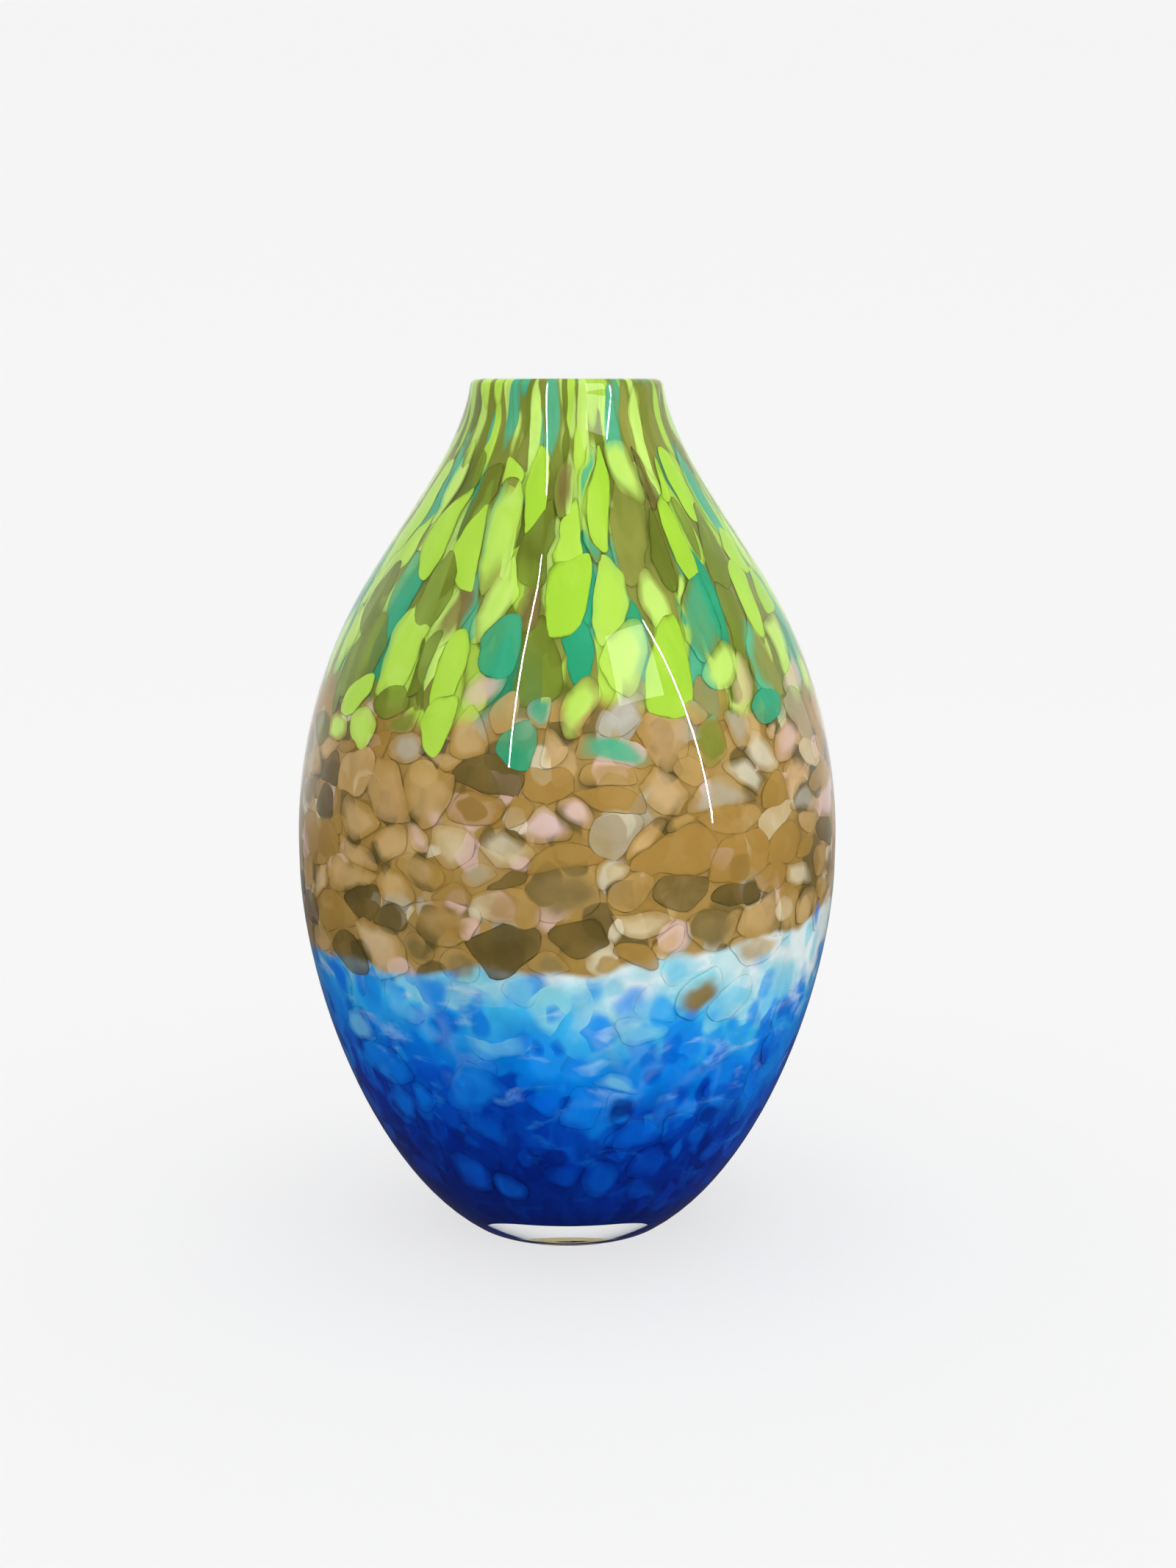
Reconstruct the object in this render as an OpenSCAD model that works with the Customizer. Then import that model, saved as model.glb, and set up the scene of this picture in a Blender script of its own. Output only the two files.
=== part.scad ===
// Hand blown art glass vase: coloured glass chips and powder fused between two clear gathers.
// It stands on its ground foot at z = 0 with its axis on the Z axis; -Y is the front.

/* [Outline] */
// Height from the ground foot to the top of the lip
vase_h = 300; // [250:5:350]
// Greatest diameter, at the belly
belly_d = 190; // [165:5:220]
// Height of the greatest diameter, as a share of the vase height
belly_share = 0.447; // [0.42:0.01:0.48]
// Diameter of the ground flat of the foot
foot_d = 74; // [66:2:82]
// Outer diameter just under the lip
mouth_d = 66.6; // [60:1:76]

/* [Glass thickness] */
// Clear casing over the colour, on the walls
casing_t = 1.8; // [1.4:0.2:3]
// Thickness of one glass chip
chip_t = 1; // [0.8:0.1:1.4]
// Fused powder ground behind the chips
ground_t = 0.4; // [0.3:0.1:0.8]
// Clear lining inside the colour
lining_t = 1.7; // [1.2:0.1:3]
// Clear glass under the blue cup, at the axis
heel_h = 10.5; // [9.5:0.5:13]

/* [Colour zones] */
// Height where the blue gives way to honey, at the sides
blue_top = 114; // [100:2:130]
// Height where the pale veil over the blue begins
veil_low = 92; // [80:2:96]
// Height where the honey gives way to green
honey_top = 194; // [180:2:205]
// Chips side by side round the vase, the same number at every height
chip_cols = 36; // [28:1:40]
// Height of a row of chips in the honey zone
chip_row = 10.5; // [9:0.5:14]
// Height of a row of granules in the blue zone
granule_row = 13; // [11:0.5:16]
// Height of a row of chips where the green begins
green_row = 17; // [14:0.5:20]
// Height of a row of chips at the lip, where the neck was drawn out
lip_row = 30; // [24:1:34]
// Share of the blue zone's places that hold a granule
granule_fill = 0.55; // [0.3:0.05:0.7]
// Random pattern number
pattern = 7; // [1:1:99]

/* [Pontil seal] */
// Diameter of the plain seal in the foot
seal_d = 36; // [30:1:40]
// Height of the seal's domed top above its own underside
seal_h = 7; // [5:0.5:8]
// How far the seal's underside sits above the foot
seal_lift = 0.6; // [0.4:0.1:1.2]

/* [Hidden] */
belly_r = belly_d / 2;
foot_r = foot_d / 2;
mouth_r = mouth_d / 2;
seal_r = seal_d / 2;
fit_gap = 0.2; // clear glass between a chip and its neighbours in depth
chip_e = fit_gap; // depths below the casing's inner face
ground_e = chip_e + chip_t + fit_gap;
lining_e = ground_e + ground_t;
inside_e = lining_e + lining_t;
wall_t = casing_t + inside_e;

// Outline: three cubic curves as [r, z] points, foot to belly, belly to shoulder, shoulder to lip.
belly_z = belly_share * vase_h;
foot_rise = 34; // slope of the glass where it leaves the foot
foot_reach = 0.445 * belly_r;
belly_fall = 0.146 * vase_h;
shoulder_r = 0.739 * belly_r;
shoulder_z = 0.767 * vase_h;
shoulder_lean = 31.7; // lean of the wall from upright at the shoulder
shoulder_reach = 0.175 * vase_h;
belly_lift = 0.017 * vase_h;
neck_reach = 0.103 * vase_h;
lip_lean = 9.2; // lean of the wall from upright at the lip
lip_reach = 0.071 * vase_h;
lip_z = vase_h - wall_t / 2 * (1 - sin(lip_lean));
floor_turn = 0.2; // where the cup's floor meets its wall, as a share of the foot curve
floor_spread = 0.36 * belly_r;
floor_reach = 0.04 * vase_h;

foot_point = [foot_r, 0];
belly_point = [belly_r, belly_z];
shoulder_point = [shoulder_r, shoulder_z];
lip_point = [mouth_r, lip_z];
shoulder_way = [-sin(shoulder_lean), cos(shoulder_lean)];
lip_way = [-sin(lip_lean), cos(lip_lean)];

foot_curve = [foot_point, foot_point + foot_reach * [cos(foot_rise), sin(foot_rise)],
    belly_point - [0, belly_fall], belly_point];
belly_curve = [belly_point, belly_point + [0, belly_lift],
    shoulder_point - shoulder_reach * shoulder_way, shoulder_point];
neck_curve = [shoulder_point, shoulder_point + neck_reach * shoulder_way,
    lip_point - lip_reach * lip_way, lip_point];
curve_steps = 20;
lip_steps = 12;

function curve_point(c, t) =
    c[0] * pow(1 - t, 3) + 3 * c[1] * pow(1 - t, 2) * t + 3 * c[2] * (1 - t) * t * t + c[3] * pow(t, 3);
function curve_slope(c, t) =
    (c[1] - c[0]) * pow(1 - t, 2) + 2 * (c[2] - c[1]) * (1 - t) * t + (c[3] - c[2]) * t * t;
function inward(way) = [-way[1], way[0]] / norm(way);

function inside_curve(c, t, e) = curve_point(c, t) + e * inward(curve_slope(c, t));

// The cup's floor runs from the axis to where it joins the low wall.
floor_end = inside_curve(foot_curve, floor_turn, casing_t);
floor_slope = curve_slope(foot_curve, floor_turn);
floor_curve = [[0, heel_h], [floor_spread, heel_h],
    floor_end - floor_reach * floor_slope / norm(floor_slope), floor_end];
wall_curves = [floor_curve, foot_curve, belly_curve, neck_curve];
curves = len(wall_curves);

// A point e below the casing's inner face; s runs from 0 in the middle of the cup to 4 at the lip.
function wall_point(s, e) =
    let (part = min(floor(s), curves - 1), t = s - part)
    part == 0 ? inside_curve(floor_curve, t, e)
    : part == 1 ? inside_curve(foot_curve, floor_turn + (1 - floor_turn) * t, casing_t + e)
    : inside_curve(wall_curves[part], t, casing_t + e);

// Distance along the wall from the middle of the cup, against s.
length_steps = 200;
length_table = [for (i = 0, run = 0; i <= length_steps; i = i + 1,
        run = run + norm(wall_point(i * curves / length_steps, 0)
            - wall_point((i - 1) * curves / length_steps, 0)))
    [run, i * curves / length_steps]];
wall_length = length_table[length_steps][0];
function s_at(along) = lookup(along, length_table);
function z_at(along) = wall_point(s_at(along), 0)[1];

// The s value at height z on the casing's inner face.
height_table = [for (row = length_table) [wall_point(row[1], 0)[1], row[1]]];
function s_at_height(z) = lookup(z, height_table);

// Rows of places for chips, from just past the turn between the cup's floor and wall to just under the lip.
run_table = [for (row = length_table) [row[1], row[0]]];
turn_margin = 5; // kept clear of granules, which could not follow the turn
first_row = lookup(1, run_table) + turn_margin;
lip_margin = 1; // clear glass above the highest chips
function row_height(along) =
    let (z = z_at(along))
    z < blue_top ? granule_row
    : z < honey_top ? chip_row
    : green_row + (lip_row - green_row) * (z - honey_top) / (vase_h - honey_top);
row_edges = [for (along = first_row; along < wall_length - lip_margin;
        along = along + row_height(along)) along];
rows = len(row_edges) - 1;

// Places for chips: each belongs to one centre and takes all that lies nearer to it than to its
// neighbours, in a grid where one column and one row are 1 unit each. Weights make big and small places.
reach = 2; // how many places away a neighbour can still cut one
edge_scale = 1.6; // half size of a place before it is cut
centre_swing = 0.46; // share of a column or row that a centre is moved at random
weight_range = 0.55;
least_side = 0.1; // shorter sides of a place are dropped
least_place = 0.2; // places smaller than this share of a column and row hold no chip
neck_twist = 0.16; // degrees of slant per millimetre above the honey zone
slots = (rows + 2 * reach) * chip_cols;
swing = rands(-1, 1, slots, pattern);
rise = rands(-1, 1, slots, pattern + 1);
weights = rands(0, weight_range, slots, pattern + 2);
draws = rands(0, 1, slots, pattern + 3);
fills = rands(0, 1, slots, pattern + 4);
sizes = rands(0, 1, slots, pattern + 5);
function slot_of(k, j) = (k + reach) * chip_cols + (j + chip_cols) % chip_cols;
function centre(k, j) =
    [j + (k + reach) % 2 / 2 + centre_swing * swing[slot_of(k, j)],
        k + 0.5 + centre_swing * rise[slot_of(k, j)]];
function cut(points, way, far) =
    [for (i = [0 : 1 : len(points) - 1])
        let (p = points[i], q = points[(i + 1) % len(points)], a = way * p - far, b = way * q - far)
        each concat(a <= 0 ? [p] : [], a * b < 0 ? [p + (q - p) * a / (a - b)] : [])];
function cut_by(points, at, weight, others, i = 0) =
    i == len(others) ? points
    : let (o = others[i][0], w = others[i][1])
        cut_by(cut(points, o - at, (o * o - at * at - w + weight) / 2), at, weight, others, i + 1);
function tidy(points) =
    [for (i = [0 : 1 : len(points) - 1])
        if (norm(points[i] - points[(i + 1) % len(points)]) > least_side) points[i]];
function place(k, j) =
    let (at = centre(k, j),
        box = [at + edge_scale * [-1, -1], at + edge_scale * [1, -1], at + edge_scale * [1, 1],
            at + edge_scale * [-1, 1]],
        others = [for (y = [-reach : reach], x = [-reach : reach])
            if (x != 0 || y != 0) if (k + y >= -reach && k + y < rows + reach)
                [centre(k + y, j + x), weights[slot_of(k + y, j + x)]]])
    tidy(cut(cut(cut_by(box, at, weights[slot_of(k, j)], others), [0, 1], rows), [0, -1], 0));

// From the grid to the wall: [angle, distance along the wall].
row_table = [for (k = [0 : rows]) [k, row_edges[k]]];
function unrolled(p) =
    let (along = lookup(p[1], row_table))
    [360 / chip_cols * p[0] + neck_twist * max(0, z_at(along) - honey_top), along];
function middle(points) = [for (c = [0, 1])
    [for (p = points) 1] * [for (p = points) p[c]] / len(points)];
function turned(p) = [-p[1], p[0]];
function double_area(points, i = 0) =
    i == len(points) ? 0
    : turned(points[i]) * points[(i + 1) % len(points)] + double_area(points, i + 1);

// Which glass lies in a place: tables of shares that add up to 1.
green_mix = [["lime", 0.52], ["teal", 0.75], ["olive", 0.93], ["brown", 1]];
border_mix = [["honey", 0.25], ["lime", 0.42], ["teal", 0.52], ["rose", 0.62], ["grey", 0.72],
    ["amber", 0.85], ["olive", 1]];
pebble_mix = [["honey", 0.36], ["amber", 0.54], ["brown", 0.68], ["rose", 0.78],
    ["grey", 0.88], ["cream", 1]];
low_pebble_mix = [["honey", 0.42], ["brown", 0.72], ["amber", 0.86], ["grey", 0.94], ["cream", 1]];
pale_mix = [["azure", 0.55], ["turquoise", 1]];
azure_mix = [["azure", 0.5], ["turquoise", 0.7], ["cobalt", 1]];
deep_mix = [["cobalt", 0.55], ["navy", 1]];
border_slant = 7; // the blue and honey border is higher on +X than on -X
border_depth = 10; // height of the mixed border under the green
stray_depth = 14; // how far stray honey chips hang below their zone
stray_share = 0.2;
pale_depth = 26;
azure_depth = 52;
function draw_from(mix, p, i = 0) = p < mix[i][1] ? mix[i][0] : draw_from(mix, p, i + 1);
function glass_in(k, j) =
    let (n = slot_of(k, j), at = unrolled(centre(k, j)), z = z_at(at[1]),
        edge = blue_top + border_slant * cos(at[0]), p = draws[n], fill = fills[n])
    z > honey_top + border_depth ? draw_from(green_mix, p)
    : z > honey_top - border_depth ? draw_from(border_mix, p)
    : z > (edge + honey_top) / 2 ? draw_from(pebble_mix, p)
    : z > edge ? draw_from(low_pebble_mix, p)
    : z > edge - stray_depth && fill < stray_share ? draw_from(low_pebble_mix, p)
    : fill > granule_fill ? "clear"
    : z > edge - pale_depth ? draw_from(pale_mix, p)
    : z > edge - azure_depth ? draw_from(azure_mix, p)
    : draw_from(deep_mix, p);

// One chip: a flattened pebble that follows the wall, its rim at half its thickness.
crown_scale = 0.68;
crown_depth = 0.1; // share of the chip's thickness
least_chip = 0.9;
most_chip = 0.97;
function on_wall(spot, e) =
    let (at = unrolled(spot), w = wall_point(s_at(at[1]), e))
    [w[0] * cos(at[0]), w[0] * sin(at[0]), w[1]];

module chip(k, j) {
    corners = place(k, j);
    sides = len(corners);
    if (double_area(corners) / 2 > least_place) {
        at = middle(corners);
        grow = least_chip + (most_chip - least_chip) * sizes[slot_of(k, j)];
        rim = [for (c = corners) on_wall(at + grow * (c - at), chip_e + chip_t / 2)];
        crown = [for (c = corners)
            on_wall(at + grow * crown_scale * (c - at), chip_e + chip_t * crown_depth)];
        top = on_wall(at, chip_e);
        under = on_wall(at, chip_e + chip_t);
        polyhedron(
            points = concat(rim, crown, [top, under]),
            faces = [for (i = [0 : sides - 1]) let (n = (i + 1) % sides)
                each [[sides + i, sides * 2, sides + n], [i, sides + i, sides + n],
                    [i, sides + n, n], [i, n, sides * 2 + 1]]]);
    }
}

module chips_of(glass) {
    for (k = [0 : rows - 1], j = [0 : chip_cols - 1]) {
        if (glass_in(k, j) == glass) {
            chip(k, j);
        }
    }
}

// A shell of revolution between two depths, from one s value to another.
shell_steps = 30;
module shell(s_low, s_high, e_out, e_in) {
    steps = max(2, round(shell_steps * (s_high - s_low)));
    s = [for (i = [0 : steps]) s_low + (s_high - s_low) * i / steps];
    rotate_extrude()
        polygon(concat(
            [for (i = [0 : steps]) wall_point(s[i], e_out)],
            [for (i = [steps : -1 : 0]) wall_point(s[i], e_in)]));
}

// Half section of the seal: a straight rim, a plain dished face and a low dome.
seal_rim = 2;
dish_r = 10;
dish_depth = 0.8;
dome_steps = 10;
seal_dome = [for (i = [0 : dome_steps]) let (a = 90 * i / dome_steps)
    [seal_r * cos(a), seal_lift + seal_rim + (seal_h - seal_rim) * sin(a)]];

// Clear outer gather: foot, heel, wall and rolled lip.
module outer_casing() {
    lip_mid = lip_point + wall_t / 2 * inward(lip_way);
    color([0.86, 0.93, 0.95, 0.35])
    rotate_extrude()
        polygon(concat(
            [[seal_r, 0]],
            [for (i = [0 : curve_steps]) curve_point(foot_curve, i / curve_steps)],
            [for (i = [1 : curve_steps]) curve_point(belly_curve, i / curve_steps)],
            [for (i = [1 : curve_steps]) curve_point(neck_curve, i / curve_steps)],
            [for (i = [1 : lip_steps - 1]) let (a = lip_lean + 180 * i / lip_steps)
                lip_mid + wall_t / 2 * [cos(a), sin(a)]],
            [for (i = [shell_steps * curves : -1 : 0]) wall_point(i / shell_steps, 0)],
            [for (i = [dome_steps : -1 : 0]) seal_dome[i]]));
}

// Clear first gather, the vessel that holds the water.
module inner_lining() {
    color([0.9, 0.95, 0.95, 0.35])
    shell(0, curves, lining_e, inside_e);
}

// Cobalt powder fused over the bottom and the low wall.
module blue_ground() {
    color("#0b3fa8")
    shell(0, s_at_height(veil_low), ground_e, lining_e);
}

// Pale milky band between the blue and the honey.
module opal_veil() {
    color("#bfe4ee")
    shell(s_at_height(veil_low), s_at_height(blue_top), ground_e, lining_e);
}

module honey_ground() {
    color("#b18b4a")
    shell(s_at_height(blue_top), s_at_height(honey_top), ground_e, lining_e);
}

module olive_ground() {
    color("#7c8a2c")
    shell(s_at_height(honey_top), curves, ground_e, lining_e);
}

module lime_chips() {
    color("#bfe560")
    chips_of("lime");
}

module teal_chips() {
    color("#3fa880")
    chips_of("teal");
}

module olive_chips() {
    color("#8a9435")
    chips_of("olive");
}

module honey_chips() {
    color("#b5904a")
    chips_of("honey");
}

module amber_chips() {
    color("#c8a06a")
    chips_of("amber");
}

module brown_chips() {
    color("#68582e")
    chips_of("brown");
}

module rose_chips() {
    color("#e0c0bf")
    chips_of("rose");
}

module grey_chips() {
    color("#aaa695")
    chips_of("grey");
}

module cream_chips() {
    color("#e6ddc4")
    chips_of("cream");
}

module azure_granules() {
    color("#1a86e0")
    chips_of("azure");
}

module turquoise_granules() {
    color("#62b8e0")
    chips_of("turquoise");
}

module cobalt_granules() {
    color("#0a3fb0")
    chips_of("cobalt");
}

module navy_granules() {
    color("#05297c")
    chips_of("navy");
}

// Plain seal of cream glass pressed into the middle of the foot.
module pontil_seal() {
    color("#d9c9a0")
    rotate_extrude()
        polygon(concat([[0, seal_lift + dish_depth], [dish_r, seal_lift + dish_depth],
            [dish_r, seal_lift], [seal_r, seal_lift]], seal_dome));
}

outer_casing();
inner_lining();
blue_ground();
opal_veil();
honey_ground();
olive_ground();
lime_chips();
teal_chips();
olive_chips();
honey_chips();
amber_chips();
brown_chips();
rose_chips();
grey_chips();
cream_chips();
azure_granules();
turquoise_granules();
cobalt_granules();
navy_granules();
pontil_seal();
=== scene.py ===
import math
import random
import bpy
import bmesh
from bisect import bisect_left
from mathutils import Matrix, Vector, noise


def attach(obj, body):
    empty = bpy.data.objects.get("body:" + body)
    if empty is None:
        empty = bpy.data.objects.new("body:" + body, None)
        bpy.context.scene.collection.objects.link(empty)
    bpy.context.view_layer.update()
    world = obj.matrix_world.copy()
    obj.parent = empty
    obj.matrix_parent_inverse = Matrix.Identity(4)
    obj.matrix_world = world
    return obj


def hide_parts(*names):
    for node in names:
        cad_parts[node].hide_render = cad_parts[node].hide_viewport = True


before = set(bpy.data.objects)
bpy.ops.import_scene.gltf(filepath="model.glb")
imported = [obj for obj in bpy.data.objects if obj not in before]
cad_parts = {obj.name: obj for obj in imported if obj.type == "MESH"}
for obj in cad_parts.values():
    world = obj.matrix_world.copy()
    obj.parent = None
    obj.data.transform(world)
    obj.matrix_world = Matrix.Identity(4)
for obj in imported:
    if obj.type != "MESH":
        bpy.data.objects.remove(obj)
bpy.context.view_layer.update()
MM = 0.001

# ---------------------------------------------------------------- the outline, in millimetres
HEIGHT, BELLY_R, BELLY_Z = 300.0, 95.0, 134.1
FOOT_R, LIP_R = 37.0, 33.3
CASING, INSIDE = 1.8, 3.5
WALL = CASING + INSIDE
GROUND_OUT, GROUND_IN, GROUND_MID = 1.4, 1.8, 1.6
CHIP_DEPTH, GRANULE_DEPTH = 0.85, 1.1  # how deep the middle of a chip lies under the casing's inner face
HEEL, FLOOR_TURN = 10.5, 0.2
SEAL_R, SEAL_LIFT, SEAL_RIM, SEAL_H = 18.0, 0.6, 2.0, 7.0
LIP_SKIN = 0.5  # clear glass over the colour at the lip
LIP_LEAN = math.radians(9.2)
SHOULDER_LEAN = math.radians(31.7)
FOOT_RISE = math.radians(34)


def way(lean):
    return (-math.sin(lean), math.cos(lean))


def step(point, direction, reach):
    return (point[0] + reach * direction[0], point[1] + reach * direction[1])


LIP = (LIP_R, HEIGHT - WALL / 2 * (1 - math.sin(LIP_LEAN)))
SHOULDER = (0.739 * BELLY_R, 0.767 * HEIGHT)
FOOT_CURVE = ((FOOT_R, 0), step((FOOT_R, 0), (math.cos(FOOT_RISE), math.sin(FOOT_RISE)), 0.445 * BELLY_R),
              (BELLY_R, BELLY_Z - 43.8), (BELLY_R, BELLY_Z))
BELLY_CURVE = ((BELLY_R, BELLY_Z), (BELLY_R, BELLY_Z + 5.1),
               step(SHOULDER, way(SHOULDER_LEAN), -52.5), SHOULDER)
NECK_CURVE = (SHOULDER, step(SHOULDER, way(SHOULDER_LEAN), 30.9), step(LIP, way(LIP_LEAN), -21.3), LIP)


def slope_of(curve, t):
    a, b, c, d = curve
    u = 1 - t
    slope = [(b[i] - a[i]) * u * u + 2 * (c[i] - b[i]) * u * t + (d[i] - c[i]) * t * t for i in (0, 1)]
    long = math.hypot(*slope)
    return (slope[0] / long, slope[1] / long)


def on_curve(curve, t, depth):
    """A point on a curve, moved depth millimetres into the glass."""
    a, b, c, d = curve
    u = 1 - t
    point = [a[i] * u**3 + 3 * b[i] * u * u * t + 3 * c[i] * u * t * t + d[i] * t**3 for i in (0, 1)]
    along = slope_of(curve, t)
    return (point[0] - depth * along[1], point[1] + depth * along[0])


FLOOR_END = on_curve(FOOT_CURVE, FLOOR_TURN, CASING)
FLOOR_CURVE = ((0, HEEL), (0.36 * BELLY_R, HEEL), step(FLOOR_END, slope_of(FOOT_CURVE, FLOOR_TURN), -12), FLOOR_END)


def outside(steps=26):
    """The outer outline from the foot's edge to the lip."""
    line = [on_curve(FOOT_CURVE, i / steps, 0) for i in range(steps + 1)]
    line += [on_curve(BELLY_CURVE, i / steps, 0) for i in range(1, steps + 1)]
    return line + [on_curve(NECK_CURVE, i / steps, 0) for i in range(1, steps + 1)]


def wall_line(depth, steps=26, low=None, high=None):
    """The line at one depth below the casing, from the middle of the cup to the lip, or between two heights."""
    line = [on_curve(FLOOR_CURVE, i / steps, depth) for i in range(steps + 1)]
    line += [on_curve(FOOT_CURVE, FLOOR_TURN + (1 - FLOOR_TURN) * i / steps, CASING + depth)
             for i in range(1, steps + 1)]
    line += [on_curve(BELLY_CURVE, i / steps, CASING + depth) for i in range(1, steps + 1)]
    line += [on_curve(NECK_CURVE, i / steps, CASING + depth) for i in range(1, steps + 1)]
    if low is not None:
        line = [at_height(line, low)] + [p for p in line if p[1] > low + 0.3]
    if high is not None:
        line = [p for p in line if p[1] < high - 0.3] + [at_height(line, high)]
    return line


def at_height(line, z):
    for (r0, z0), (r1, z1) in zip(line, line[1:]):
        if z0 <= z <= z1:
            return (r0 + (r1 - r0) * (z - z0) / (z1 - z0), z)
    return line[-1]


# ---------------------------------------------------------------- modelling

def deselect():
    if bpy.context.object and bpy.context.object.mode != "OBJECT":
        bpy.ops.object.mode_set(mode="OBJECT")
    bpy.ops.object.select_all(action="DESELECT")


def turn_on_axis(name, line, around=128, ring=False):
    """Draws a round piece as on a lathe: one circle, extruded from point to point of its half section.
    A ring's section comes back to where it starts; any other piece starts and ends on the axis."""
    deselect()
    r, z = line[0]
    bpy.ops.mesh.primitive_circle_add(vertices=around, radius=r * MM, location=(0, 0, z * MM),
                                      fill_type="NOTHING" if ring else "NGON")
    piece = bpy.context.object
    piece.name = piece.data.name = name
    bpy.ops.object.transform_apply(location=True, rotation=True, scale=True)
    bpy.ops.object.mode_set(mode="EDIT")
    bpy.ops.mesh.select_all(action="SELECT")
    for (r0, z0), (r1, z1) in zip(line, line[1:] + (line[:1] if ring else [])):
        if ring:
            bpy.ops.mesh.extrude_edges_move(TRANSFORM_OT_translate={"value": (0, 0, (z1 - z0) * MM)})
        else:
            bpy.ops.mesh.extrude_region_move(TRANSFORM_OT_translate={"value": (0, 0, (z1 - z0) * MM)})
        bpy.ops.transform.resize(value=(r1 / r0, r1 / r0, 1), center_override=(0, 0, 0))
    bpy.ops.mesh.select_all(action="SELECT")
    bpy.ops.mesh.remove_doubles(threshold=1e-6)
    bpy.ops.mesh.normals_make_consistent(inside=False)
    bpy.ops.object.mode_set(mode="OBJECT")
    bpy.ops.object.shade_smooth_by_angle(angle=math.radians(40))
    return piece


def finish_piece(piece, node, material):
    piece.data.materials.clear()
    piece.data.materials.append(material)
    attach(piece, "root")
    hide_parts(*([node] if isinstance(node, str) else node))
    return piece


# ---------------------------------------------------------------- materials

class Value:
    """A shader socket that can be added, multiplied and compared like a number."""

    def __init__(self, paint, socket):
        self.paint, self.socket = paint, socket

    def math(self, operation, *others):
        node = self.paint.tree.nodes.new("ShaderNodeMath")
        node.operation = operation
        for slot, item in zip(node.inputs, (self, *others)):
            self.paint.feed(slot, item)
        return Value(self.paint, node.outputs[0])

    def __add__(self, other):
        return self.math("ADD", other)

    __radd__ = __add__

    def __mul__(self, other):
        return self.math("MULTIPLY", other)

    __rmul__ = __mul__

    def __sub__(self, other):
        return self.math("SUBTRACT", other)

    def __rsub__(self, other):
        return (self * -1) + other

    def __neg__(self):
        return self * -1

    def __truediv__(self, other):
        return self.math("DIVIDE", other)

    def between(self, low, high):
        """0 below low, 1 above high, smooth between."""
        node = self.paint.tree.nodes.new("ShaderNodeMapRange")
        node.interpolation_type = "SMOOTHSTEP"
        self.paint.feed(node.inputs["Value"], self)
        self.paint.feed(node.inputs["From Min"], low)
        self.paint.feed(node.inputs["From Max"], high)
        return Value(self.paint, node.outputs["Result"])


class Paint:
    """One material and its nodes."""

    def __init__(self, name):
        self.material = bpy.data.materials.new(name)
        self.material.use_nodes = True
        self.tree = self.material.node_tree
        self.tree.nodes.clear()
        self.out = self.tree.nodes.new("ShaderNodeOutputMaterial")
        self.wall = None

    def feed(self, slot, item):
        if isinstance(item, Value):
            self.tree.links.new(item.socket, slot)
        elif item is not None:
            slot.default_value = (*item, 1) if isinstance(item, tuple) and len(item) == 3 and slot.type == "RGBA" else item

    def node(self, kind, settings=None, out=0, **slots):
        node = self.tree.nodes.new("ShaderNode" + kind)
        for key, setting in (settings or {}).items():
            setattr(node, key, setting)
        for key, item in slots.items():
            name = key.replace("_", " ")
            self.feed(node.inputs[int(key[1:])] if key[1:].isdigit() else node.inputs[name], item)
        return Value(self, node.outputs[out])

    def vector(self, operation, *items, **slots):
        node = self.tree.nodes.new("ShaderNodeVectorMath")
        node.operation = operation
        for slot, item in zip(node.inputs, items):
            self.feed(slot, item)
        for key, item in slots.items():
            self.feed(node.inputs[key], item)
        return Value(self, node.outputs["Vector"])

    def parts(self, vector):
        node = self.tree.nodes.new("ShaderNodeSeparateXYZ")
        self.feed(node.inputs[0], vector)
        return [Value(self, out) for out in node.outputs]

    def unrolled(self):
        """The wall with its neck let out again: every height is as wide as the belly."""
        if self.wall is None:
            x, y, z = self.parts(self.node("TexCoord", out="Object"))
            flat = self.vector("NORMALIZE", self.node("CombineXYZ", X=x, Y=y, Z=0.0))
            x, y, _ = self.parts(self.vector("SCALE", flat, Scale=BELLY_R * MM))
            self.wall = self.node("CombineXYZ", X=x, Y=y, Z=z - (z - 0.2).math("MAXIMUM", 0.0) * 0.3)
        return self.wall

    def noise(self, scale, detail=3.0, rough=0.5, warp=0.0, at=None, out=0, stretch=(1, 1, 1)):
        spot = at or self.unrolled()
        if stretch != (1, 1, 1):
            spot = self.vector("MULTIPLY", spot, stretch)
        return self.node("TexNoise", out=out, Vector=spot, Scale=scale, Detail=detail,
                         Roughness=rough, Distortion=warp)

    def wavy(self, at, scale, reach):
        """Moves a pattern about so that its edges run in waves."""
        push = self.vector("SUBTRACT", self.noise(scale, detail=2.0, at=at, out="Color"), (0.5, 0.5, 0.5))
        return self.vector("ADD", at, self.vector("SCALE", push, Scale=reach))

    def cells(self, at, scale, feature="F1", out="Distance"):
        return self.node("TexVoronoi", {"feature": feature}, out=out, Vector=at, Scale=scale)

    def ramp(self, share, stops, hard=False):
        node = self.tree.nodes.new("ShaderNodeValToRGB")
        bar = node.color_ramp
        bar.interpolation = "CONSTANT" if hard else "LINEAR"
        while len(bar.elements) < len(stops):
            bar.elements.new(0.5)
        for element, (place, colour) in zip(bar.elements, stops):
            element.position = place
            element.color = (*colour, 1)
        self.feed(node.inputs[0], share)
        return Value(self, node.outputs[0])

    def tone(self, low, high, share, blend="MIX"):
        """A colour from low to high by share."""
        node = self.tree.nodes.new("ShaderNodeMix")
        node.data_type, node.blend_type = "RGBA", blend
        self.feed(node.inputs[0], share)
        self.feed(node.inputs[6], low)
        self.feed(node.inputs[7], high)
        return Value(self, node.outputs[2])

    def known(self, name):
        return self.node("Attribute", {"attribute_name": name}, out="Fac")

    def close(self, shader):
        self.tree.links.new(shader.socket, self.out.inputs["Surface"])
        return self.material


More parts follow.
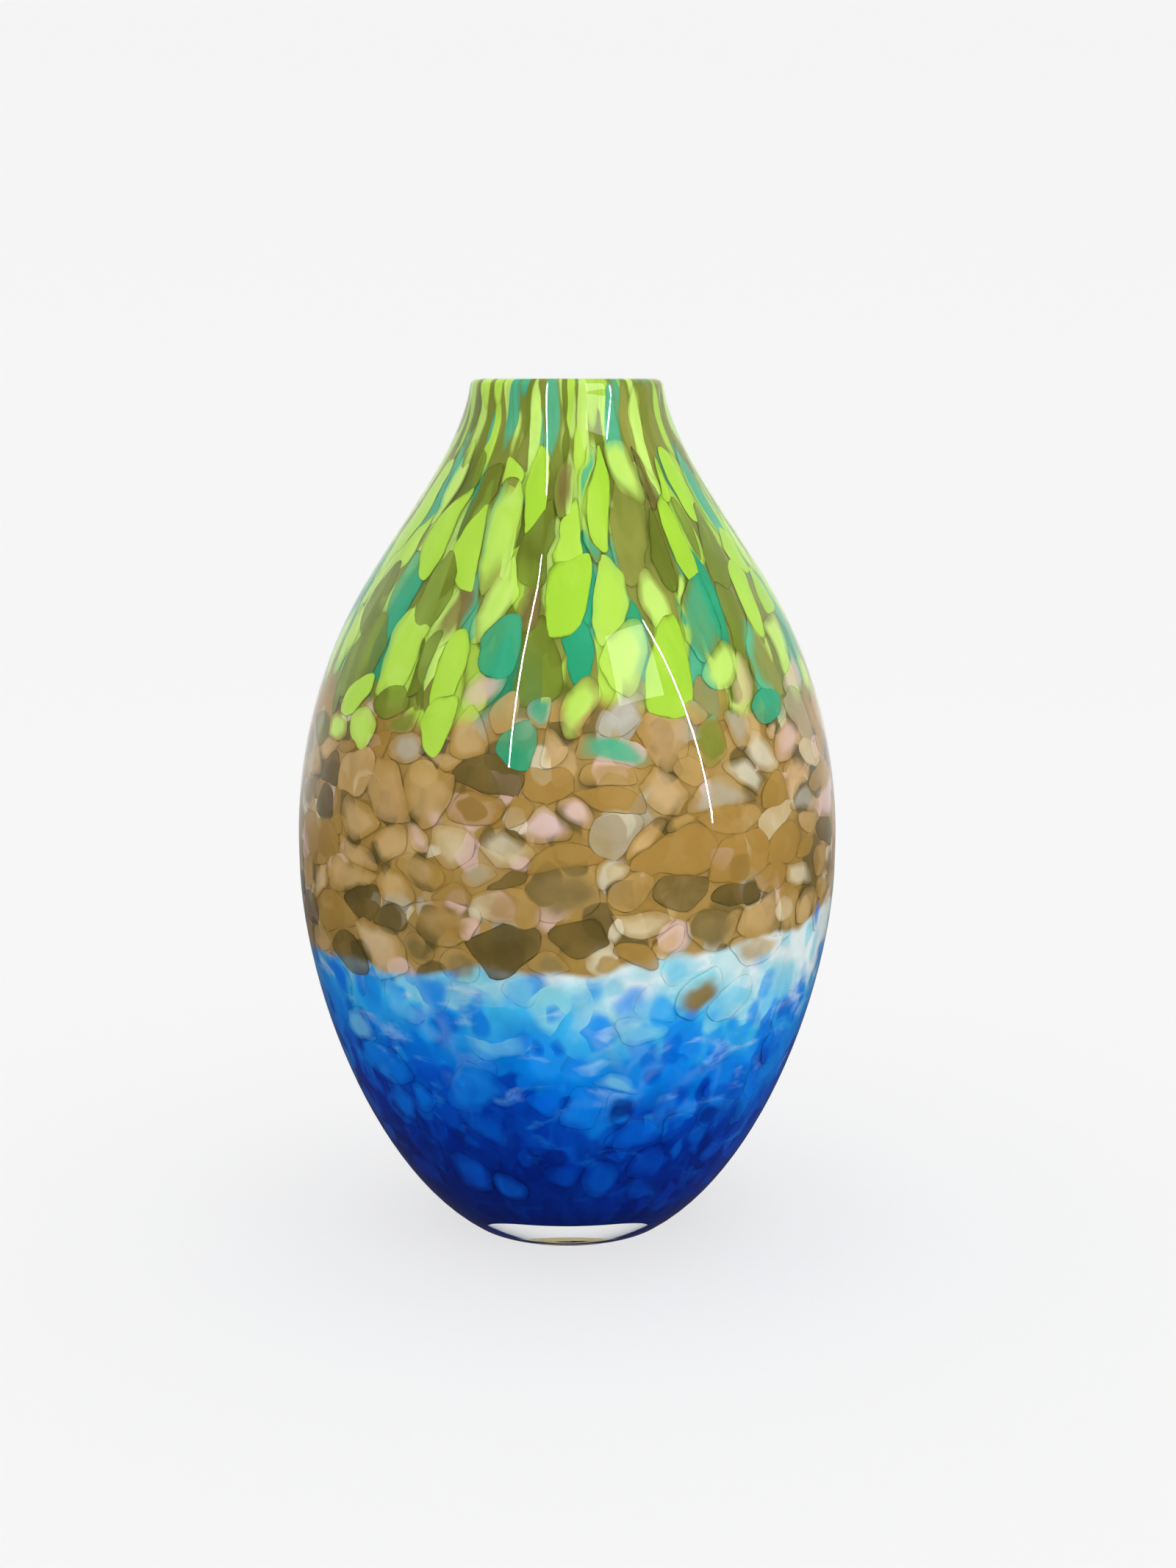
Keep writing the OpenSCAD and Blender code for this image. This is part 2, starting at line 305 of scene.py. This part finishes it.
DEEPEN = 0.78  # the casing and the bright studio lift every colour, so all are mixed this much deeper


def ink(red, green, blue):
    """A colour given as it looks, 0 to 255, as light."""
    def light(v):
        v /= 255
        return DEEPEN * (v / 12.92 if v <= 0.04045 else ((v + 0.055) / 1.055) ** 2.4)
    return (light(red), light(green), light(blue))


CLEAR_IOR = 1.3


def clear_glass(name, tint=(0.985, 0.995, 0.99)):
    """Polished clear glass that lets lamp light through to the colour inside."""
    paint = Paint(name)
    swell = paint.noise(14, detail=1.0, at=paint.node("TexCoord", out="Object"))
    bump = paint.node("Bump", Strength=0.02, Distance=0.004, Height=swell)
    glass = paint.node("BsdfGlass", Color=tint, Roughness=0.0, IOR=CLEAR_IOR, Normal=bump)
    light = paint.node("BsdfTransparent", Color=(0.95, 0.97, 0.96))
    lamp = paint.node("LightPath", out="Is Shadow Ray")
    return paint.close(paint.node("MixShader", Fac=lamp, i1=glass, i2=light))


LIME, PALE_LIME = ink(184, 222, 84), ink(200, 232, 118)
TEAL, DEEP_TEAL = ink(86, 178, 140), ink(46, 152, 112)
OLIVE, MOSS, BARK = ink(140, 142, 66), ink(112, 126, 44), ink(74, 80, 26)
HONEY, TAN, AMBER = ink(162, 128, 64), ink(178, 146, 86), ink(196, 164, 110)
BROWN, ROSE, GREY, CREAM = ink(104, 88, 48), ink(226, 192, 178), ink(182, 176, 158), ink(228, 216, 184)
NAVY, COBALT, ROYAL = ink(1, 28, 112), ink(1, 46, 150), ink(1, 72, 184)
AZURE, SKY, AQUA, MILK = ink(4, 122, 222), ink(40, 164, 234), ink(140, 216, 232), ink(236, 246, 246)

GREEN_MIX = ((0, LIME), (0.26, PALE_LIME), (0.46, TEAL), (0.58, DEEP_TEAL), (0.68, OLIVE), (0.88, MOSS))
HONEY_MIX = ((0, HONEY), (0.28, TAN), (0.44, AMBER), (0.54, BROWN), (0.8, ROSE), (0.88, GREY), (0.95, CREAM))
BLUE_MIX = ((0, NAVY), (0.24, COBALT), (0.44, ROYAL), (0.64, AZURE), (0.84, ink(30, 146, 232)), (0.95, SKY), (1.0, AQUA))
VEIN_MIX = ((0, ink(0, 50, 150)), (0.3, ink(2, 88, 196)), (0.5, ink(52, 148, 232)), (0.75, ink(180, 220, 242)),
            (0.95, MILK))
PALE_MIX = ((0, ink(2, 32, 118)), (0.26, ink(1, 44, 148)), (0.46, ink(2, 80, 188)), (0.64, ink(6, 130, 220)),
            (0.82, ink(66, 184, 232)), (0.94, ink(176, 226, 236)), (1.0, MILK))

# Layers of melted chips: shift, scale, size of the blobs, softness of their rims, upright squeeze, cover
HONEY_LAYERS = ((0.13, 70, 0.62, 0.30, 1.0, 0.8), (0.52, 84, 0.56, 0.10, 0.9, 0.85), (0.91, 76, 0.5, 0.06, 1.1, 0.9))
GREEN_LAYERS = ((0.29, 78, 0.66, 0.24, 0.62, 0.9), (0.67, 88, 0.6, 0.06, 0.55, 0.95))


def pebbles(paint, at, scale, size, soft):
    """Scattered round blobs: how much a blob covers the spot, the blob's random pick and shade, and its middle."""
    far = paint.cells(at, scale)
    pick, shade, _ = paint.parts(paint.cells(at, scale, out="Color"))
    middle = paint.parts(paint.cells(at, scale, out="Position"))[2]
    return far.between(size, size - soft), far.between(size - 0.14, size), pick, shade, middle


def blue_colour(paint, height):
    """Navy at the bottom, azure blobs higher up that overlap softly, with milky glass between them at the top."""
    side = paint.parts(paint.unrolled())[0]
    depth = (height - 0.018) / 0.096 + side * 0.9
    cloud = paint.noise(34, detail=4.0, warp=0.4)
    colour = paint.ramp(depth + (cloud - 0.5) * 0.5, PALE_MIX)
    for shift, scale, size, share in ((0.11, 62, 0.62, 0.9), (0.47, 80, 0.58, 0.85), (0.83, 104, 0.52, 0.8)):
        at = paint.wavy(paint.vector("ADD", paint.unrolled(), (shift, shift, shift)), 60, 0.012)
        cover, _, pick, shade, middle = pebbles(paint, at, scale, size, 0.26)
        inside = (middle - shift - 0.018) / 0.096 + side * 0.9
        blob = paint.ramp(inside + (shade - 0.5) * 0.42, BLUE_MIX)
        kept = (inside * 0.85 + pick * 0.5).between(1.22, 0.92)
        colour = paint.tone(colour, blob, cover * kept * share)
    vein = paint.ramp(depth + 0.06, VEIN_MIX)
    crack = paint.cells(paint.wavy(paint.unrolled(), 60, 0.014), 66, feature="DISTANCE_TO_EDGE")
    wisp = paint.noise(30, detail=2.0).between(0.45, 0.6)
    colour = paint.tone(colour, vein, crack.between(0.16, 0.0) * wisp * 0.14)
    streak = paint.noise(52, detail=3.5, warp=0.5, stretch=(1, 1, 2.6))
    return paint.tone(colour, vein, streak.between(0.54, 0.76) * 0.6)


def melted_pebbles(paint, base, layers, mix, rim):
    """Overlapping chips seen through each other: each layer is blobs in the colours of a mix, over a base colour."""
    colour = base
    for shift, scale, size, soft, stretch, share in layers:
        at = paint.wavy(paint.vector("ADD", paint.unrolled(), (shift, shift, shift)), 70, 0.008)
        at = paint.vector("MULTIPLY", at, (1, 1, stretch))
        cover, border, pick, shade, _ = pebbles(paint, at, scale, size, soft)
        chip = paint.ramp(pick, mix, hard=True)
        chip = paint.vector("SCALE", chip, Scale=shade * 0.22 + 0.89)
        chip = paint.tone(chip, rim, border * 0.4)
        colour = paint.tone(colour, chip, cover * share)
    return colour


def melted_colour(paint):
    """The three zones of powder and chips, clouded a little."""
    side, _, z = paint.parts(paint.unrolled())
    swing = (paint.noise(26, detail=3.0) - 0.5) * 0.034
    cloud = paint.noise(48, detail=3.0)
    honey = melted_pebbles(paint, paint.tone(HONEY, TAN, cloud), HONEY_LAYERS, HONEY_MIX, ink(140, 108, 54))
    green = melted_pebbles(paint, paint.tone(OLIVE, MOSS, cloud), GREEN_LAYERS, GREEN_MIX, BARK)
    blue = blue_colour(paint, z)
    mixed = paint.tone(blue, honey, (z + swing * 0.5 - side * 0.075).between(0.1125, 0.1155))
    mixed = paint.tone(mixed, green, (z + swing + side * 0.02).between(0.189, 0.197))
    return paint.vector("SCALE", mixed, Scale=paint.noise(90, detail=4.0, warp=0.5) * 0.5 + 0.74)


def powder(name):
    paint = Paint(name)
    return paint.close(paint.node("BsdfPrincipled", Base_Color=melted_colour(paint), Roughness=0.6,
                                  Specular_IOR_Level=0.0))


def chip_glass(name, tones, rim, soft, veil):
    """Coloured glass for chips in three tones. A share of the chips, soft, thins out towards its rim, where the
    powder behind shows; veil is how much of the powder shows through all of them."""
    paint = Paint(name)
    edge, tint = paint.known("edge"), paint.known("tint")
    cloud = paint.noise(60, detail=3.0, warp=0.8)
    ragged = edge + (paint.noise(110, detail=2.5) - 0.5) * 0.4
    tone = paint.ramp(tint * 0.8 + cloud * 0.9 - 0.35, [(0.12, tones[0]), (0.5, tones[1]), (0.88, tones[2])])
    shown = paint.noise(40, detail=2.0).between(0.42, 0.62)
    tone = paint.tone(tone, rim, ragged.between(0.72, 1.02) * shown * 0.85)
    thin = (tint - (1 - soft)).between(-0.05, 0.05)
    solid = 1 - thin * ragged.between(0.35, 0.92)
    clear = (paint.noise(45, detail=2.0) - 0.5) * 0.9 + veil
    colour = paint.tone(melted_colour(paint), tone, solid * (1 - clear.math("MAXIMUM", 0.0)))
    return paint.close(paint.node("BsdfPrincipled", Base_Color=colour, Roughness=0.5, Specular_IOR_Level=0.0))


# ---------------------------------------------------------------- the vase

def lip_arc(radius, low, high, steps=12):
    """Part of a circle about the middle of the lip's round edge; 0 is the outside, 180 the inside."""
    mid = step(LIP, (-math.cos(LIP_LEAN), -math.sin(LIP_LEAN)), WALL / 2)
    turns = [LIP_LEAN + math.radians(low + (high - low) * i / steps) for i in range(steps + 1)]
    return [(mid[0] + radius * math.cos(a), mid[1] + radius * math.sin(a)) for a in turns]


def near_axis(line):
    return [(max(r, 0.3), z) for r, z in line]


def make_casing():
    line = near_axis([(0.0, 0.0), (FOOT_R - 6, 0.0)]) + outside() + lip_arc(WALL / 2, 0, 180)[1:]
    piece = turn_on_axis("casing", line + near_axis(reversed(wall_line(GROUND_MID))))
    return finish_piece(piece, "outer_casing", clear_glass("clear casing glass"))


def make_lining():
    lift = 0.03
    outer, inner = near_axis(wall_line(GROUND_MID)), near_axis(reversed(wall_line(INSIDE)))
    outer[-1] = (outer[-1][0], outer[-1][1] - lift)
    inner[0] = (inner[0][0], inner[0][1] - lift)
    piece = turn_on_axis("lining", outer + inner)
    return finish_piece(piece, "inner_lining", clear_glass("clear lining glass"))


def make_ground(name, node, low, high):
    out, back = wall_line(GROUND_OUT, low=low, high=high), wall_line(GROUND_IN, low=low, high=high)
    if high is None:
        out, back = out[:-5], back[:-5]
        for i in range(1, 11):
            t = (21 + i / 2) / 26
            swell = (i / 10) ** 2 * (3 - i / 5)
            out.append(on_curve(NECK_CURVE, t, CASING + GROUND_OUT + (LIP_SKIN - CASING - GROUND_OUT) * swell))
            back.append(on_curve(NECK_CURVE, t, CASING + GROUND_IN + (WALL - LIP_SKIN - CASING - GROUND_IN) * swell))
        out += lip_arc(WALL / 2 - LIP_SKIN, 0, 180)[1:]
    back.reverse()
    piece = turn_on_axis(name, near_axis(out + back), ring=low is not None)
    return finish_piece(piece, node, powder(name.replace("_", " ")))


WALL_LINE = wall_line(0, steps=50)
WALL_HEIGHTS = [z for _, z in WALL_LINE]
WALL_RUN = [0.0]
for here, there in zip(WALL_LINE, WALL_LINE[1:]):
    WALL_RUN.append(WALL_RUN[-1] + math.dist(here, there))


def read_table(keys, columns, key):
    i = min(max(bisect_left(keys, key), 1), len(keys) - 1)
    share = (key - keys[i - 1]) / (keys[i] - keys[i - 1])
    return [c[i - 1] + (c[i] - c[i - 1]) * share for c in columns]


def lie_on_wall(co):
    """A point as [turn, distance along the wall, how far outside it], in radians and millimetres."""
    run, r = read_table(WALL_HEIGHTS, (WALL_RUN, [p[0] for p in WALL_LINE]), co.z / MM)
    return [math.atan2(co.y, co.x), run, math.hypot(co.x, co.y) / MM - r]


def stand_up(turn, run, out):
    """The point for a place on the wall."""
    r, z = read_table(WALL_RUN, ([p[0] for p in WALL_LINE], WALL_HEIGHTS), run)
    r = max(r + out, 0.5)
    return Vector((r * math.cos(turn), r * math.sin(turn), z)) * MM


def groups_of(bm):
    """The loose chips of a mesh, each a list of its points."""
    seen, groups = set(), []
    for start in bm.verts:
        if start in seen:
            continue
        group, todo = [], [start]
        seen.add(start)
        while todo:
            v = todo.pop()
            group.append(v)
            for e in v.link_edges:
                o = e.other_vert(v)
                if o not in seen:
                    seen.add(o)
                    todo.append(o)
        groups.append(group)
    return groups


SPREAD, FLAT, LIFT = 1.26, 0.3, 0.28
GREEN_RUN = 232  # where the green begins, along the wall


def rim_share(depth):
    """How far out from a chip's middle a point lies, 1 at the rim, told by how deep it lies under the crown."""
    return depth * 3.4 if depth < 0.2 else 0.68 + (depth - 0.2) * 0.4


def mark_chips(piece, seed, depth):
    """Gives every chip its own tint, marks its rim, flattens it and spreads it until it meets its neighbours."""
    bm = bmesh.new()
    bm.from_mesh(piece.data)
    bmesh.ops.remove_doubles(bm, verts=bm.verts, dist=1e-6)
    bmesh.ops.recalc_face_normals(bm, faces=bm.faces)
    edge, tint = (bm.verts.layers.float.new(name) for name in ("edge", "tint"))
    dice = random.Random(seed)
    for group in groups_of(bm):
        shade, lift, spread = dice.random(), dice.uniform(-LIFT, LIFT), SPREAD * dice.uniform(0.82, 1.16)
        spots = [lie_on_wall(v.co) for v in group]
        turn0, run0 = spots[0][0], sum(s[1] for s in spots) / len(spots)
        for s in spots:
            s[0] = turn0 + (s[0] - turn0 + math.pi) % (2 * math.pi) - math.pi
        turn0 = sum(s[0] for s in spots) / len(spots)
        top, low = max(s[2] for s in spots), min(s[2] for s in spots)
        across, along = (spread * 0.84, spread * 1.2) if run0 > GREEN_RUN else (spread, spread)
        for v, (turn, run, out) in zip(group, spots):
            v[tint] = shade
            v[edge] = rim_share((top - out) / (top - low) * 2)
            v.co = stand_up(turn0 + (turn - turn0) * across, run0 + (run - run0) * along,
                            (out - (top + low) / 2) * FLAT + lift - depth)
    bm.to_mesh(piece.data)
    bm.free()


def ruffle(piece):
    """Pulls the chips' outlines about along the wall, all by the same flow, as soft glass runs."""
    noise.seed_set(4)  # without it the flow changes from run to run
    for v in piece.data.vertices:
        turn, run, out = lie_on_wall(v.co)
        wide, fine = noise.noise_vector(v.co * 48), noise.noise_vector(v.co * 150)
        side = wide.x * 3.0 + fine.x * 1.3
        v.co = stand_up(turn + side / max(math.hypot(v.co.x, v.co.y) / MM, 20), run + wide.y * 3.6 + fine.y * 1.5, out)


def make_chips(node, material, seed):
    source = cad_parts[node]
    deselect()
    piece = source.copy()
    piece.data = source.data.copy()
    piece.parent = None
    for key in list(piece.keys()):
        del piece[key]
    piece.name = piece.data.name = node.replace("_", "-")
    bpy.context.scene.collection.objects.link(piece)
    mark_chips(piece, seed, GRANULE_DEPTH if node.endswith("granules") else CHIP_DEPTH)
    bpy.context.view_layer.objects.active = piece
    piece.select_set(True)
    swell = piece.modifiers.new("round", "SUBSURF")
    swell.levels = swell.render_levels = 2
    bpy.ops.object.modifier_apply(modifier="round")
    ruffle(piece)
    bpy.ops.object.shade_smooth()
    return finish_piece(piece, node, material)


def make_seal():
    dome = [(SEAL_R * math.cos(math.radians(a)), SEAL_LIFT + SEAL_RIM + (SEAL_H - SEAL_RIM) * math.sin(math.radians(a)))
            for a in range(0, 90, 9)]
    line = [(0.3, SEAL_LIFT + 0.8), (9.5, SEAL_LIFT + 0.8), (10, SEAL_LIFT), (SEAL_R - 0.4, SEAL_LIFT),
            (SEAL_R, SEAL_LIFT + 0.4)] + dome + [(0.3, SEAL_LIFT + SEAL_H)]
    piece = turn_on_axis("seal", line, around=64)
    paint = Paint("seal cream glass")
    at = paint.node("TexCoord", out="Object")
    x, y, _ = paint.parts(at)
    grain = paint.noise(240, at=at)
    colour = paint.tone(ink(206, 186, 130), ink(246, 232, 190), grain)
    middle = (x * x + y * y).math("SQRT") + (grain - 0.5) * 0.004
    colour = paint.tone(colour, ink(16, 30, 84), middle.between(0.0148, 0.0156))
    # The seal glows with its own colour (emission 0.7). This is painted light, standing in for the light that reaches
    # it through the heel glass.
    material = paint.close(paint.node("BsdfPrincipled", Base_Color=colour, Roughness=0.5, Specular_IOR_Level=0.0,
                                      Emission_Color=colour, Emission_Strength=0.7))
    return finish_piece(piece, "pontil_seal", material)


CHIPS = {
    # node: (slot, three tones, rim, share of chips with thin rims, how much shows through)
    "lime_chips": ("lime_glass", (ink(166, 210, 62), LIME, PALE_LIME), ink(104, 128, 30), 0.4, -0.1),
    "teal_chips": ("teal_glass", (DEEP_TEAL, ink(62, 166, 128), TEAL), ink(40, 104, 64), 0.7, 0.1),
    "olive_chips": ("olive_glass", (ink(98, 108, 36), MOSS, OLIVE), BARK, 0.4, 0.15),
    "honey_chips": ("honey_glass", (ink(160, 124, 60), HONEY, ink(206, 172, 118)), ink(128, 94, 42), 0.45, 0.25),
    "amber_chips": ("amber_glass", (TAN, ink(208, 170, 120), ink(214, 188, 148)), ink(150, 114, 62), 0.6, 0.3),
    "brown_chips": ("brown_glass", (ink(86, 72, 36), BROWN, ink(142, 120, 74)), ink(66, 52, 24), 0.4, 0.15),
    "rose_chips": ("rose_glass", (ink(222, 176, 148), ROSE, ink(230, 204, 210)), ink(190, 140, 100), 0.8, 0.3),
    "grey_chips": ("grey_glass", (ink(172, 158, 124), GREY, ink(200, 196, 190)), ink(140, 120, 80), 0.7, 0.35),
    "cream_chips": ("cream_glass", (ink(210, 188, 142), CREAM, ink(238, 230, 206)), ink(180, 152, 100), 0.8, 0.35),
    "azure_granules": ("azure_glass", (ink(2, 104, 218), AZURE, ink(30, 140, 232)), AZURE, 1.1, 0.25),
    "turquoise_granules": ("turquoise_glass", (SKY, ink(104, 190, 234), AQUA), AQUA, 1.1, 0.4),
    "cobalt_granules": ("cobalt_glass", (ink(0, 66, 176), ROYAL, ink(2, 96, 210)), ROYAL, 1.1, 0.35),
    "navy_granules": ("navy_glass", (NAVY, ink(0, 40, 130), COBALT), COBALT, 1.1, 0.3),
}


def make_stage():
    floor_r, rise, drop = 1500.0, 700.0, -0.2
    line = [(floor_r * i / 6 + 1, drop) for i in range(7)]
    for i in range(1, 13):
        a = math.radians(90 * i / 12)
        line.append((floor_r + rise * math.sin(a), drop + rise * (1 - math.cos(a))))
    line += [(floor_r + rise, 1600.0), (floor_r + rise, 2600.0)]
    deselect()
    bpy.ops.mesh.primitive_circle_add(vertices=96, radius=line[0][0] * MM, fill_type="NGON",
                                      location=(0, 0, drop * MM))
    tent = bpy.context.object
    tent.name = "studio floor"
    bpy.ops.object.transform_apply(location=True, rotation=True, scale=True)
    bpy.ops.object.mode_set(mode="EDIT")
    bpy.ops.mesh.select_all(action="SELECT")
    bpy.ops.mesh.select_mode(type="EDGE")
    bpy.ops.mesh.region_to_loop()
    for (r0, z0), (r1, z1) in zip(line, line[1:]):
        bpy.ops.mesh.extrude_edges_move(TRANSFORM_OT_translate={"value": (0, 0, (z1 - z0) * MM)})
        bpy.ops.transform.resize(value=(r1 / r0, r1 / r0, 1), center_override=(0, 0, 0))
    bpy.ops.object.mode_set(mode="OBJECT")
    bpy.ops.object.shade_smooth()
    paint = Paint("white sweep")
    white = paint.node("BsdfPrincipled", Base_Color=(FLOOR_WHITE, FLOOR_WHITE, FLOOR_WHITE), Roughness=0.9,
                       Specular_IOR_Level=0.0)
    glow = paint.node("Emission", Color=(1, 1, 1), Strength=FLOOR_GLOW)
    both = paint.node("AddShader", i0=white, i1=glow)
    behind = paint.parts(paint.node("TexCoord", out="Object"))[1].between(0.1, 1.4)
    dark = paint.node("Emission", Color=paint.tone((MIRRORED, MIRRORED, MIRRORED), (0.95, 0.95, 0.95), behind),
                      Strength=1.0)
    mirror = paint.node("LightPath", out="Is Glossy Ray") * paint.node("LightPath", out="Is Reflection Ray")
    tent.data.materials.append(paint.close(paint.node("MixShader", Fac=mirror, i1=both, i2=dark)))


FLOOR_WHITE, FLOOR_GLOW, MIRRORED, SKY_LIGHT = 0.25, 0.66, 0.05, 1.34


def strip(name, top, bottom, wide, power):
    """A thin lamp from top to bottom that faces the vase."""
    top, bottom = Vector(top), Vector(bottom)
    light = bpy.data.lights.new(name, "AREA")
    light.shape = "RECTANGLE"
    light.size, light.size_y = wide, (top - bottom).length
    light.energy = power
    piece = bpy.data.objects.new(name, light)
    bpy.context.scene.collection.objects.link(piece)
    piece.location = (top + bottom) / 2
    upright = (top - bottom).normalized()
    back = (piece.location - Vector((0, 0, 0.18)))
    back = (back - upright * back.dot(upright)).normalized()
    across = upright.cross(back)
    piece.rotation_euler = Matrix((across, upright, back)).transposed().to_euler()
    piece.visible_diffuse = piece.visible_transmission = False
    return piece


def make_light():
    world = bpy.data.worlds.new("studio")
    bpy.context.scene.world = world
    world.use_nodes = True
    sky = world.node_tree.nodes["Background"]
    sky.inputs[0].default_value = (1, 1, 1, 1)
    path = world.node_tree.nodes.new("ShaderNodeLightPath")
    mirror = world.node_tree.nodes.new("ShaderNodeMath")
    mirror.operation = "MULTIPLY"
    world.node_tree.links.new(path.outputs["Is Glossy Ray"], mirror.inputs[0])
    world.node_tree.links.new(path.outputs["Is Reflection Ray"], mirror.inputs[1])
    level = world.node_tree.nodes.new("ShaderNodeMapRange")
    level.inputs["To Min"].default_value = SKY_LIGHT
    level.inputs["To Max"].default_value = MIRRORED
    world.node_tree.links.new(mirror.outputs[0], level.inputs["Value"])
    world.node_tree.links.new(level.outputs["Result"], sky.inputs[1])
    strip("left strip", (-0.40, -0.90, 1.95), (-0.40, -0.90, 0.42), 0.008, 26)
    strip("right strip", (0.67, -0.60, 1.13), (0.79, -0.47, 0.16), 0.007, 20)
    strip("panel", (0.55, -0.78, 1.18), (0.60, -0.85, 0.74), 0.42, 5)


def make_camera():
    data = bpy.data.cameras.new("camera")
    data.lens, data.sensor_width, data.sensor_fit = 52.0, 36.0, "AUTO"
    data.clip_start, data.clip_end = 0.01, 20
    camera = bpy.data.objects.new("camera", data)
    bpy.context.scene.collection.objects.link(camera)
    camera.location = (0, -0.792, 0.300)
    camera.rotation_euler = (math.radians(90 - 10.15), 0, math.radians(-0.53))
    bpy.context.scene.camera = camera


make_casing()
make_lining()
make_ground("cobalt_powder", "blue_ground", None, 92)
make_ground("opal_powder", "opal_veil", 92, 114)
make_ground("honey_powder", "honey_ground", 114, 194)
make_ground("olive_powder", "olive_ground", 194, None)
for seed, (node, (slot, *looks)) in enumerate(CHIPS.items()):
    make_chips(node, chip_glass(slot.replace("_", " "), *looks), seed)
make_seal()
make_stage()
make_light()
make_camera()
bpy.context.scene.view_settings.view_transform = "Standard"
